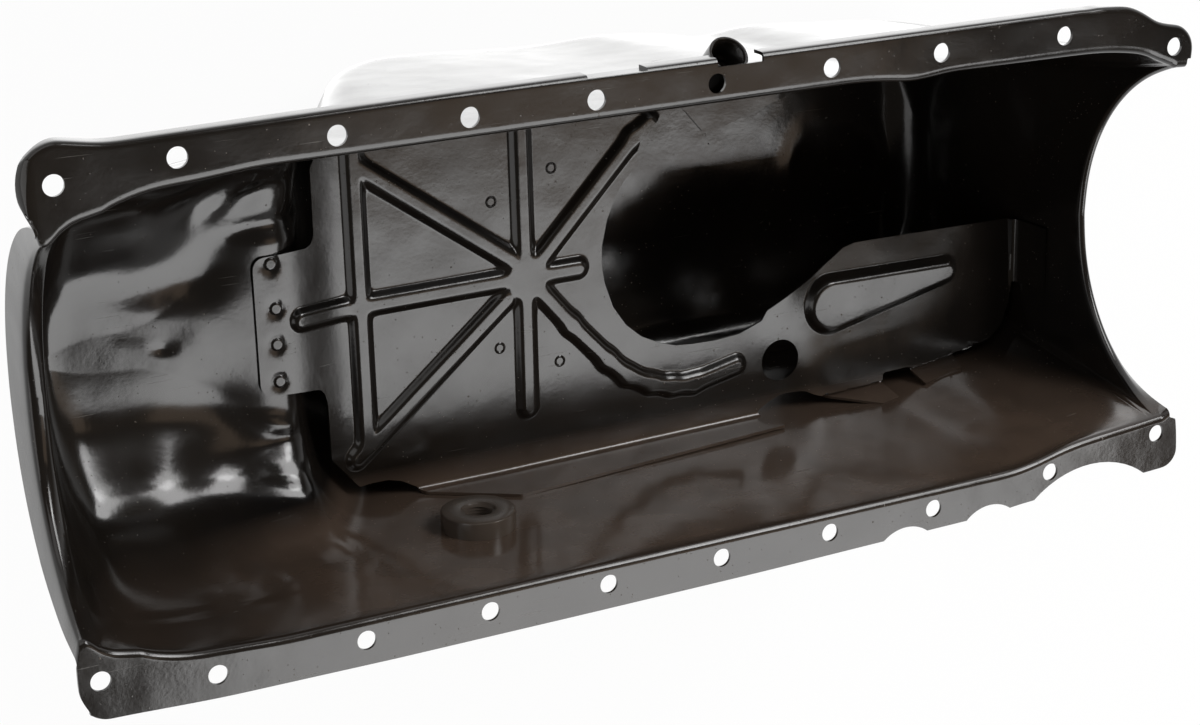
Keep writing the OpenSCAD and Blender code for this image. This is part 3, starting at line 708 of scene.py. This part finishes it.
def cut_blank():
    """The tray's flat blank, of two layers of faces, still in millimetres."""
    flat = [[Vector((x, y, 0)) for x in steps_between(*BLANK_X, BLANK_STEP)]
            for y in steps_between(*BLANK_Y, BLANK_STEP)]
    obj = new_object("windage_tray_pressed", grid_of(flat))
    wall = obj.modifiers.new("sheet", "SOLIDIFY")
    wall.thickness = TRAY_T
    wall.offset = 0
    settle(obj)
    bm = bmesh.new()
    bm.faces.new([bm.verts.new((x, y, 0)) for x, y in blank_outline()])
    bmesh.ops.bevel(bm, geom=bm.verts[:], offset=BLANK_CORNER, segments=3, profile=0.5, affect="VERTICES",
                    material=-1, clamp_overlap=True)
    blank = new_object("blank", bm)
    tall = blank.modifiers.new("tall", "SOLIDIFY")
    tall.thickness = 5 * TRAY_T
    tall.offset = 0
    settle(blank)
    carve(obj, blank, "INTERSECT")
    hole = (DRAIN_BACK_R, 5 * TRAY_T, Matrix.Translation((*DRAIN_BACK, 0)))
    return carve(obj, cutter("drain_back", [hole]))


def refine_blank(obj):
    """Halves the edges of the blank where its form needs it."""
    bm = bmesh.new()
    bm.from_mesh(obj.data)
    for longest in FINE_LENGTHS:
        shortest = longest * 0.75
        fine = []
        for edge in bm.edges:
            middle = (edge.verts[0].co + edge.verts[1].co) / 2
            if abs(middle.z) < TRAY_T / 4 or edge.calc_length() < shortest:
                continue
            need = fine_step(middle.x, middle.y, 0.3 + shortest)
            # the underside needs the first round alone
            if need < longest and (middle.z > 0 or longest == FINE_LENGTHS[0]):
                fine.append(edge)
        bmesh.ops.subdivide_edges(bm, edges=fine, cuts=1, use_grid_fill=True)
    bmesh.ops.triangulate(bm, faces=[face for face in bm.faces if len(face.verts) > 4])
    bm.to_mesh(obj.data)
    bm.free()


def build_tray():
    obj = cut_blank()
    refine_blank(obj)
    eps = 0.2
    for v in obj.data.vertices:
        x, y, z = v.co
        p = tray_surface(x, y)
        n = (tray_surface(x + eps, y) - p).cross(tray_surface(x, y + eps) - p).normalized()
        q = p + n * (TRAY_T / 2 if z > 0 else -TRAY_T / 2)
        v.co = Vector((q.x - MID_STATION, q.y, q.z + TRAY_TOP - TRAY_T / 2)) * MM
    obj.data.update()
    return obj


def turned(name, profile, place, steps=96):
    """Closed ring turned from a closed profile of (radius, height) in millimetres."""
    bm = bmesh.new()
    ring = [bm.verts.new((r * MM, 0, z * MM)) for r, z in profile]
    edges = [bm.edges.new((a, b)) for a, b in zip(ring, ring[1:] + ring[:1])]
    bmesh.ops.spin(bm, geom=ring + edges, cent=(0, 0, 0), axis=(0, 0, 1), angle=2 * pi, steps=steps,
                   use_merge=True)
    bmesh.ops.remove_doubles(bm, verts=bm.verts, dist=1e-7)
    bmesh.ops.recalc_face_normals(bm, faces=bm.faces)
    bmesh.ops.transform(bm, matrix=place, verts=bm.verts)
    return new_object(name, bm)


def thread_rings(radius, depth, pitch, low, high):
    """Crests and roots of a thread down a bore, from high to low."""
    out, z = [], high
    while z - pitch >= low:
        out += [(radius + depth / 2, z), (radius - depth / 2, z - pitch * 0.5)]
        z -= pitch
    return out + [(radius + depth / 2, z)]


def build_boss():
    profile = [(7.6, 0.1), (19, 0.1), (19, 8.3), (18.85, 8.9), (18.45, 9.3), (17.9, 9.5), (9.4, 9.5),
               (8.9, 9.4), (7.8, 8.4)] + thread_rings(7.0, 1.1, 1.6, 0.6, 8.4)
    return turned("drain_boss_turned", profile, on_wall(DRAIN_STATION, -1, DRAIN_DEPTH))


# Block that cuts the bung's tube off at the wall, and how far that is outside its inner face
MITRE, MITRE_GAP = (120, 160, 120), 1.75


def build_bung():
    profile = [(BUNG_R, -60), (10, -60), (10, -0.7), (9.8, -0.2), (9.3, 0), (8.9, 0), (8.5, -0.3)]
    profile += thread_rings(8.1, 0.5, 1.4, -14, -1.0) + [(8, -17), (BUNG_R, -17)]
    obj = turned("dipstick_bung_tube", profile, at_bung())
    wide, deep, tall = [size * MM for size in MITRE]
    place = on_wall(BUNG_STATION, 1, 30) @ Matrix.Translation((0, 0, tall / 2 - MITRE_GAP * MM))
    return carve(obj, cutter("mitre", [((wide, deep), tall, place)]))


# Finishes
# The third colour is the lighter brown of the -Y wall: partly a film on it, partly painted light for the
# light that falls on that wall.
BLACK, WARM, FILM_AND_PAINTED_LIGHT = (0.0058, 0.0051, 0.0047), (0.0105, 0.0083, 0.0066), (0.073, 0.051, 0.038)
BOSS_BLACK, BOSS_WARM = (0.05, 0.041, 0.035), (0.072, 0.056, 0.044)
DUST, SCRATCH = (0.24, 0.20, 0.16, 1), (0.16, 0.15, 0.135, 1)
COAT_IOR = 1.52
MARK_R, MARK_LINE = 0.0025, 0.0007


class Nodes:
    """Short ways to add and join the nodes of one tree."""

    def __init__(self, tree, seed=0.0):
        self.tree = tree
        self.link = tree.links.new
        self.seed = seed

    def add(self, kind, **inputs):
        """A node, with constants for its inputs."""
        made = self.tree.nodes.new("ShaderNode" + kind)
        for key, value in inputs.items():
            made.inputs[key.replace("_", " ")].default_value = value
        return made

    def feed(self, socket, value):
        """Gives a socket a constant, or another node's output."""
        if isinstance(value, (int, float, tuple)):
            socket.default_value = value
        else:
            self.link(value, socket)

    def maths(self, operation, a, b=0.0, clamp=True):
        """Result of one operation, held within 0 and 1 unless clamp is off."""
        made = self.add("Math")
        made.operation = operation
        made.use_clamp = clamp
        self.feed(made.inputs[0], a)
        self.feed(made.inputs[1], b)
        return made.outputs[0]

    def ranged(self, value, low, high, out_low, out_high):
        """A value stretched from one range to another, and held within it."""
        made = self.add("MapRange", From_Min=low, From_Max=high, To_Min=out_low, To_Max=out_high)
        self.link(value, made.inputs["Value"])
        return made.outputs["Result"]

    def blend(self, factor, a, b):
        """Colour between two others."""
        made = self.add("Mix")
        made.data_type = "RGBA"
        self.link(factor, made.inputs["Factor"])
        self.feed(made.inputs["A"], a)
        self.feed(made.inputs["B"], b)
        return made.outputs["Result"]

    def place(self):
        return self.add("TexCoord").outputs["Object"]

    def moved(self, scale=(1, 1, 1), turn=(0, 0, 0)):
        """The place on the object, moved by the seed, scaled and turned."""
        made = self.add("Mapping", Location=(self.seed, self.seed * 0.7, 0), Rotation=turn, Scale=scale)
        self.link(self.place(), made.inputs["Vector"])
        return made.outputs["Vector"]

    def noise(self, scale, detail, vector=None, distort=0.0):
        made = self.add("TexNoise", Scale=scale, Detail=detail, Distortion=distort)
        self.link(vector or self.moved(), made.inputs["Vector"])
        return made.outputs["Fac"]

    def bump(self, height, strength, distance, under=None):
        """The normal of a relief, laid over another one."""
        made = self.add("Bump", Strength=strength, Distance=distance)
        self.link(height, made.inputs["Height"])
        if under:
            self.link(under, made.inputs["Normal"])
        return made.outputs["Normal"]


def specks(nodes, scale, size, share):
    """Round specks in a share of the cells."""
    cells = nodes.add("TexVoronoi", Scale=scale)
    nodes.link(nodes.moved(), cells.inputs["Vector"])
    near = nodes.ranged(cells.outputs["Distance"], size * 0.5, size, 1, 0)
    pick = nodes.add("SeparateColor")
    nodes.link(cells.outputs["Color"], pick.inputs["Color"])
    return nodes.maths("MULTIPLY", near, nodes.maths("GREATER_THAN", pick.outputs["Red"], 1 - share))


def dust_specks(nodes, dust):
    """Two sizes of specks, thicker in some patches."""
    large, small = specks(nodes, 150, 0.075, 0.3 * dust), specks(nodes, 420, 0.13, 0.22 * dust)
    patches = nodes.ranged(nodes.noise(14, 2), 0.42, 0.6, 0.2, 1)
    return nodes.maths("MULTIPLY", nodes.maths("MAXIMUM", large, small), patches)


def scratches(nodes):
    """Fine lines in one direction, in some patches."""
    lines = nodes.ranged(nodes.noise(1, 1, nodes.moved((26, 1100, 300), (0, 0, 0.3))), 0.73, 0.77, 0, 1)
    return nodes.maths("MULTIPLY", lines, nodes.ranged(nodes.noise(24, 1), 0.52, 0.64, 0, 0.5))


def wall_film_and_painted_light(nodes, colour, cloud):
    """Lighter brown over the -Y wall, thinner at the trough: partly a film on the sheet, partly painted light
    that stands in for the light falling on that wall.
    """
    split = nodes.add("SeparateXYZ")
    nodes.link(nodes.place(), split.inputs[0])
    wall = nodes.maths("MULTIPLY", nodes.ranged(split.outputs["Y"], -0.088, -0.1, 0, 1),
                       nodes.ranged(split.outputs["Z"], 0.236, 0.226, 0, 1))
    wall = nodes.maths("MULTIPLY", wall, nodes.ranged(split.outputs["X"], -0.23, -0.15, 0.3, 1))
    return nodes.blend(nodes.maths("MULTIPLY", wall, nodes.ranged(cloud, 0, 1, 1, 0.9)), colour, (*FILM_AND_PAINTED_LIGHT, 1))


def press_marks(nodes, marks):
    """Height of thin rings round the places of the marks."""
    rings = None
    for mx, my in marks:
        gap = nodes.add("VectorMath")
        gap.operation = "DISTANCE"
        nodes.link(nodes.place(), gap.inputs[0])
        gap.inputs[1].default_value = ((mx - MID_STATION) * MM, my * MM, TRAY_TOP * MM)
        off = nodes.maths("SUBTRACT", gap.outputs["Value"], MARK_R, clamp=False)
        here = nodes.ranged(nodes.maths("ABSOLUTE", off, clamp=False), 0, MARK_LINE, 1, 0)
        rings = nodes.maths("MAXIMUM", rings, here) if rings else here
    return rings


def ecoat(name, base, tint, rough, dust, seed, film_and_painted_light=False, marks=()):
    """Black dip coating: satin gloss with orange peel, rubbed patches, dust specks and fine scratches."""
    mat = bpy.data.materials.new(name)
    mat.use_nodes = True
    shader = mat.node_tree.nodes["Principled BSDF"]
    nodes = Nodes(mat.node_tree, seed)
    patch = nodes.ranged(nodes.noise(7, 4), 0.42, 0.62, 0, 1)
    cloud = nodes.ranged(nodes.noise(38, 5, distort=0.6), 0.4, 0.7, 0, 1)
    spots, lines = dust_specks(nodes, dust), scratches(nodes)
    colour = nodes.blend(patch, (*base, 1), (*tint, 1))
    # the -Y wall is made lighter: partly a film, partly painted light
    if film_and_painted_light:
        colour = wall_film_and_painted_light(nodes, colour, cloud)
    colour = nodes.blend(nodes.maths("MULTIPLY", cloud, 0.2), colour, (*[c * 1.8 for c in tint], 1))
    colour = nodes.blend(nodes.maths("MULTIPLY", lines, 0.5), colour, SCRATCH)
    colour = nodes.blend(nodes.maths("MULTIPLY", spots, 0.55), colour, DUST)
    nodes.link(colour, shader.inputs["Base Color"])
    gloss = nodes.ranged(nodes.noise(30, 4), 0.3, 0.7, rough - 0.03, rough + 0.05)
    matt = nodes.maths("MULTIPLY", nodes.maths("MAXIMUM", spots, lines), 0.25)
    nodes.link(nodes.maths("ADD", gloss, matt), shader.inputs["Roughness"])
    shader.inputs["IOR"].default_value = COAT_IOR
    peel = nodes.bump(nodes.noise(420, 2), 0.5, 0.00005)
    waves = nodes.bump(nodes.noise(45, 1), 0.6, 0.0004, peel)
    relief = nodes.bump(spots, 0.6, 0.0003, waves)
    if marks:
        relief = nodes.bump(press_marks(nodes, marks), 0.8, 0.0004, relief)
    nodes.link(relief, shader.inputs["Normal"])
    return mat


def finish_piece(obj, material, node_name, angle=38):
    """Gives a piece its material and its place in the frame, with edges over the angle kept sharp."""
    obj.data.materials.clear()
    obj.data.materials.append(material)
    obj.data.shade_smooth()
    obj.data.set_sharp_from_angle(angle=radians(angle))
    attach(obj, "root")
    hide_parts(node_name)


SHELL_COAT = ecoat("shell_ecoat", BLACK, WARM, 0.14, 1.0, 0.0, film_and_painted_light=True)
TRAY_COAT = ecoat("tray_ecoat", BLACK, WARM, 0.16, 0.8, 3.1, film_and_painted_light=True, marks=MARKS)
BOSS_COAT = ecoat("boss_ecoat", BOSS_BLACK, BOSS_WARM, 0.2, 0.6, 5.7)
BUNG_COAT = ecoat("bung_ecoat", BLACK, WARM, 0.2, 0.5, 8.3)
finish_piece(build_shell(), SHELL_COAT, "pan_shell")
finish_piece(build_tray(), TRAY_COAT, "windage_tray", 62)
finish_piece(build_boss(), BOSS_COAT, "drain_boss", 30)
finish_piece(build_bung(), BUNG_COAT, "dipstick_bung", 30)


# Floor, light and camera
FLOOR_WHITE, FLOOR_SHARE = (0.9, 0.9, 0.9, 1), 0.95
FLOOR_HALF, FLOOR_GAP = 4, 0.0006
# The room by height: white low down and a dim brown above
ROOM = [(0.1, (0.95, 0.95, 0.95, 1)), (0.5, (0.11, 0.095, 0.08, 1))]


def soft_white(name):
    """Pale finish that shows white to the camera and in gloss, and keeps a share of its shadows."""
    mat = bpy.data.materials.new(name)
    mat.use_nodes = True
    mat.node_tree.nodes.clear()
    nodes = Nodes(mat.node_tree)
    matt, glow = nodes.add("BsdfDiffuse", Color=FLOOR_WHITE), nodes.add("Emission", Strength=1.0)
    path, both = nodes.add("LightPath"), nodes.add("MixShader")
    seen = nodes.maths("MAXIMUM", path.outputs["Is Camera Ray"], path.outputs["Is Glossy Ray"], clamp=False)
    nodes.link(nodes.maths("MULTIPLY", seen, FLOOR_SHARE, clamp=False), both.inputs["Fac"])
    nodes.link(matt.outputs[0], both.inputs[1])
    nodes.link(glow.outputs[0], both.inputs[2])
    nodes.link(both.outputs[0], nodes.add("OutputMaterial").inputs["Surface"])
    return mat


def build_floor():
    bm = bmesh.new()
    bmesh.ops.create_grid(bm, x_segments=1, y_segments=1, size=FLOOR_HALF)
    for v in bm.verts:
        v.co.z = -FLOOR_GAP
    floor_obj = new_object("floor", bm)
    floor_obj.data.materials.append(soft_white("floor_white"))


def build_world():
    """White behind the pan for the camera, and the room for everything else."""
    world = bpy.data.worlds.new("studio")
    bpy.context.scene.world = world
    world.use_nodes = True
    world.node_tree.nodes.clear()
    nodes = Nodes(world.node_tree)
    split = nodes.add("SeparateXYZ")
    nodes.link(nodes.add("TexCoord").outputs["Generated"], split.inputs[0])
    ramp = nodes.add("ValToRGB")
    for element, (position, colour) in zip(ramp.color_ramp.elements, ROOM):
        element.position = position
        element.color = colour
    nodes.link(split.outputs["Z"], ramp.inputs[0])
    room, white = nodes.add("Background"), nodes.add("Background", Color=(1, 1, 1, 1))
    nodes.link(ramp.outputs[0], room.inputs["Color"])
    both = nodes.add("MixShader")
    nodes.link(nodes.add("LightPath").outputs["Is Camera Ray"], both.inputs["Fac"])
    nodes.link(room.outputs[0], both.inputs[1])
    nodes.link(white.outputs[0], both.inputs[2])
    nodes.link(both.outputs[0], nodes.add("OutputWorld").inputs["Surface"])


def soft_box(name, place, wide, tall, radiance, colour=(1, 1, 1), level=False):
    """Rectangular soft box at a place in metres, turned to the pan or lying level."""
    lamp = bpy.data.lights.new(name, "AREA")
    lamp.shape = "RECTANGLE"
    lamp.size, lamp.size_y = wide, tall
    lamp.energy = radiance * pi * wide * tall
    lamp.color = colour
    obj = bpy.data.objects.new(name, lamp)
    spot = Vector(place)
    if level:
        turn = Matrix.Rotation(0 if spot.z > 1 else pi, 4, "X")
    else:
        turn = spot.to_track_quat("Z", "Y").to_matrix().to_4x4()
    obj.matrix_world = Matrix.Translation(spot) @ turn
    obj.visible_camera = False
    bpy.context.scene.collection.objects.link(obj)


CAMERA_PLACE, CAMERA_LENS, SENSOR = (-0.5583, 0.3649, 1.2329), 75.37, 36
CAMERA_RIGHT, CAMERA_UP = (0.8846, -0.0246, 0.4657), (0.1668, 0.9492, -0.2667)


def build_camera():
    right, up = Vector(CAMERA_RIGHT), Vector(CAMERA_UP)
    back = right.cross(up).normalized()
    lens = bpy.data.cameras.new("camera")
    lens.lens, lens.sensor_width = CAMERA_LENS, SENSOR
    lens.clip_start, lens.clip_end = 0.05, 50
    obj = bpy.data.objects.new("camera", lens)
    turn = Matrix((right, up, back)).transposed().to_4x4()
    obj.matrix_world = Matrix.Translation(CAMERA_PLACE) @ turn
    bpy.context.scene.collection.objects.link(obj)
    bpy.context.scene.camera = obj


build_floor()
build_world()
# Lamps: name, place, width, height, radiance. The key and the glow lie level over the pan, and the card
# beside it faces up.
soft_box("key", (1.62, -3.86, 3.15), 2.04, 6.1, 4.6, level=True)
soft_box("glow", (1.5, -0.25, 3.1), 1.1, 1.1, 0.7, (1, 0.74, 0.54), level=True)
soft_box("window", (1.48, 1.95, 1.86), 0.95, 1.6, 7.5)
soft_box("skylight", (1.4, 1.3, 2.4), 0.75, 0.7, 7)
soft_box("fill", (-0.9, 3.0, 2.6), 3.0, 2.2, 0.9)
soft_box("side", (-3.4, -0.6, 2.1), 2.6, 1.8, 1.15)
soft_box("card", (0.02, 0.39, 0.001), 0.9, 0.6, 1.25, level=True)
build_camera()
bpy.context.scene.view_settings.view_transform = "Standard"
